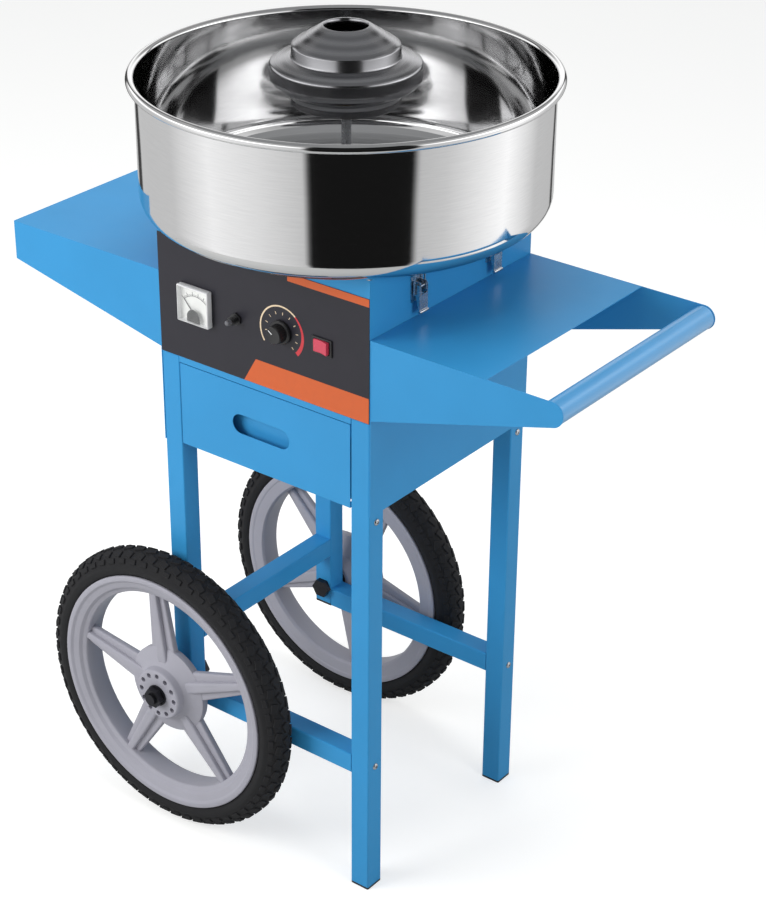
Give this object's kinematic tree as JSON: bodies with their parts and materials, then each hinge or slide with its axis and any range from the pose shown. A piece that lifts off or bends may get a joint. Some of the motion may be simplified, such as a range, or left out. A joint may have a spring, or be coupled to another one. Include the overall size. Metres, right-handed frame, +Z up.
{
  "type": "cotton candy machine",
  "caption": "Cotton candy machine with a wide steel bowl and spinning head, standing on a wheeled cart with a drawer, side shelves and a push handle.",
  "frame": {"origin": "on the floor under the middle of the outer box", "axes": "+Z up, -Y towards the control panel, +X towards the push handle"},
  "size_m": [0.8414, 0.52, 1.092],
  "materials": {
    "blue_paint": "gloss",
    "panel_print": "satin",
    "stainless": "mirror polish",
    "zinc_steel": "zinc plated",
    "wheel_plastic": "moulded satin",
    "tyre_rubber": "moulded rubber",
    "black_plastic": "moulded",
    "white_plastic": "moulded",
    "red_plastic": "moulded",
    "clear_plastic": "clear",
    "spun_aluminium": "turned",
    "dark_metal": "blackened",
    "rubber": "moulded",
    "brass": "turned",
    "motor_paint": "painted casting"
  },
  "bodies": {
    "cart": {"leg_front_right": "blue_paint", "leg_rear_right": "blue_paint", "leg_front_left": "blue_paint", "leg_rear_left": "blue_paint", "leg_end_caps": "black_plastic", "side_braces": "blue_paint", "cross_brace": "blue_paint", "axle_hardware": "zinc_steel", "side_panel_right": "blue_paint", "side_panel_left": "blue_paint", "rear_panel": "blue_paint", "cart_top": "blue_paint", "drawer_rails": "zinc_steel", "shelf_right": "blue_paint", "shelf_left": "blue_paint", "push_handle": "blue_paint", "screws": "zinc_steel", "machine_front": "blue_paint", "machine_sides": "blue_paint", "machine_rear": "blue_paint", "top_deck": "spun_aluminium", "base_plate": "zinc_steel", "control_panel": "panel_print", "cable_gland": "black_plastic", "meter_case": "white_plastic", "meter_lens": "clear_plastic", "breaker_body": "black_plastic", "speed_control": "black_plastic", "switch_housing": "black_plastic", "bowl": "stainless", "bowl_hooks": "stainless", "latch_bases": "zinc_steel", "motor": "motor_paint", "motor_plate": "zinc_steel", "rubber_mounts": "rubber", "brush_holder": "black_plastic", "carbon_brushes": "dark_metal"},
    "front_wheel": {"wheel_front": "wheel_plastic", "tyre_front": "tyre_rubber"},
    "rear_wheel": {"wheel_rear": "wheel_plastic", "tyre_rear": "tyre_rubber"},
    "drawer": {"drawer_front": "blue_paint", "drawer_tray": "blue_paint"},
    "spinner": {"head_base": "spun_aluminium", "heater_band": "dark_metal", "head_cap": "spun_aluminium", "spinner_shaft": "zinc_steel", "slip_rings": "brass"},
    "heat_knob": {"heat_knob": "black_plastic"},
    "rocker": {"rocker_switch": "red_plastic"},
    "reset_button": {"breaker_button": "white_plastic"},
    "meter_needle": {"meter_pointer": "dark_metal"},
    "latch_lever_right_front": {"latch_lever_right_front": "zinc_steel"},
    "latch_loop_right_front": {"latch_loop_right_front": "zinc_steel"},
    "latch_lever_right_rear": {"latch_lever_right_rear": "zinc_steel"},
    "latch_loop_right_rear": {"latch_loop_right_rear": "zinc_steel"},
    "latch_lever_left_front": {"latch_lever_left_front": "zinc_steel"},
    "latch_loop_left_front": {"latch_loop_left_front": "zinc_steel"},
    "latch_lever_left_rear": {"latch_lever_left_rear": "zinc_steel"},
    "latch_loop_left_rear": {"latch_loop_left_rear": "zinc_steel"}
  },
  "joints": [
    {"name": "front_wheel_spin", "type": "hinge", "parent": "cart", "child": "front_wheel", "pos_m": [-0.15595, -0.1897, 0.203], "axis": [0, 1, 0], "continuous": true},
    {"name": "rear_wheel_spin", "type": "hinge", "parent": "cart", "child": "rear_wheel", "pos_m": [-0.15595, 0.1897, 0.203], "axis": [0, 1, 0], "continuous": true},
    {"name": "drawer_slide", "type": "slide", "parent": "cart", "child": "drawer", "axis": [0, -1, 0], "range_m": [0, 0.22]},
    {"name": "spinner_spin", "type": "hinge", "parent": "cart", "child": "spinner", "pos_m": [-0.00675, 0, 1.018], "axis": [0, 0, 1], "continuous": true},
    {"name": "heat_knob_turn", "type": "hinge", "parent": "cart", "child": "heat_knob", "pos_m": [0.02525, -0.1631, 0.766], "axis": [0, 1, 0], "range_deg": [0, 270]},
    {"name": "rocker_tilt", "type": "hinge", "parent": "cart", "child": "rocker", "pos_m": [0.08725, -0.1631, 0.7655], "axis": [0, 0, 1], "range_deg": [0, 14]},
    {"name": "reset_button_press", "type": "slide", "parent": "cart", "child": "reset_button", "axis": [0, 1, 0], "range_m": [0, 0.003], "stiffness_N_per_m": 300},
    {"name": "meter_needle_swing", "type": "hinge", "parent": "cart", "child": "meter_needle", "pos_m": [-0.10825, -0.1661, 0.7485], "axis": [0, 1, 0], "range_deg": [0, 84], "stiffness_Nm_per_rad": 0.001},
    {"name": "latch_lever_right_front_open", "type": "hinge", "parent": "cart", "child": "latch_lever_right_front", "pos_m": [0.16405, -0.075, 0.833], "axis": [0, -1, 0], "range_deg": [0, 135]},
    {"name": "latch_loop_right_front_swing", "type": "hinge", "parent": "latch_lever_right_front", "child": "latch_loop_right_front", "pos_m": [0.16105, -0.075, 0.824], "axis": [0, 1, 0], "range_deg": [0, 202.5]},
    {"name": "latch_lever_right_rear_open", "type": "hinge", "parent": "cart", "child": "latch_lever_right_rear", "pos_m": [0.16405, 0.075, 0.833], "axis": [0, -1, 0], "range_deg": [0, 135]},
    {"name": "latch_loop_right_rear_swing", "type": "hinge", "parent": "latch_lever_right_rear", "child": "latch_loop_right_rear", "pos_m": [0.16105, 0.075, 0.824], "axis": [0, 1, 0], "range_deg": [0, 202.5]},
    {"name": "latch_lever_left_front_open", "type": "hinge", "parent": "cart", "child": "latch_lever_left_front", "pos_m": [-0.17755, -0.075, 0.833], "axis": [0, 1, 0], "range_deg": [0, 135]},
    {"name": "latch_loop_left_front_swing", "type": "hinge", "parent": "latch_lever_left_front", "child": "latch_loop_left_front", "pos_m": [-0.17455, -0.075, 0.824], "axis": [0, -1, 0], "range_deg": [0, 202.5]},
    {"name": "latch_lever_left_rear_open", "type": "hinge", "parent": "cart", "child": "latch_lever_left_rear", "pos_m": [-0.17755, 0.075, 0.833], "axis": [0, 1, 0], "range_deg": [0, 135]},
    {"name": "latch_loop_left_rear_swing", "type": "hinge", "parent": "latch_lever_left_rear", "child": "latch_loop_left_rear", "pos_m": [-0.17455, 0.075, 0.824], "axis": [0, -1, 0], "range_deg": [0, 202.5]}
  ],
  "couplings": [
    {"joint": "latch_loop_right_front_swing", "follows": "latch_lever_right_front_open", "ratio": 1.5},
    {"joint": "latch_loop_right_rear_swing", "follows": "latch_lever_right_rear_open", "ratio": 1.5},
    {"joint": "latch_loop_left_front_swing", "follows": "latch_lever_left_front_open", "ratio": 1.5},
    {"joint": "latch_loop_left_rear_swing", "follows": "latch_lever_left_rear_open", "ratio": 1.5}
  ]
}
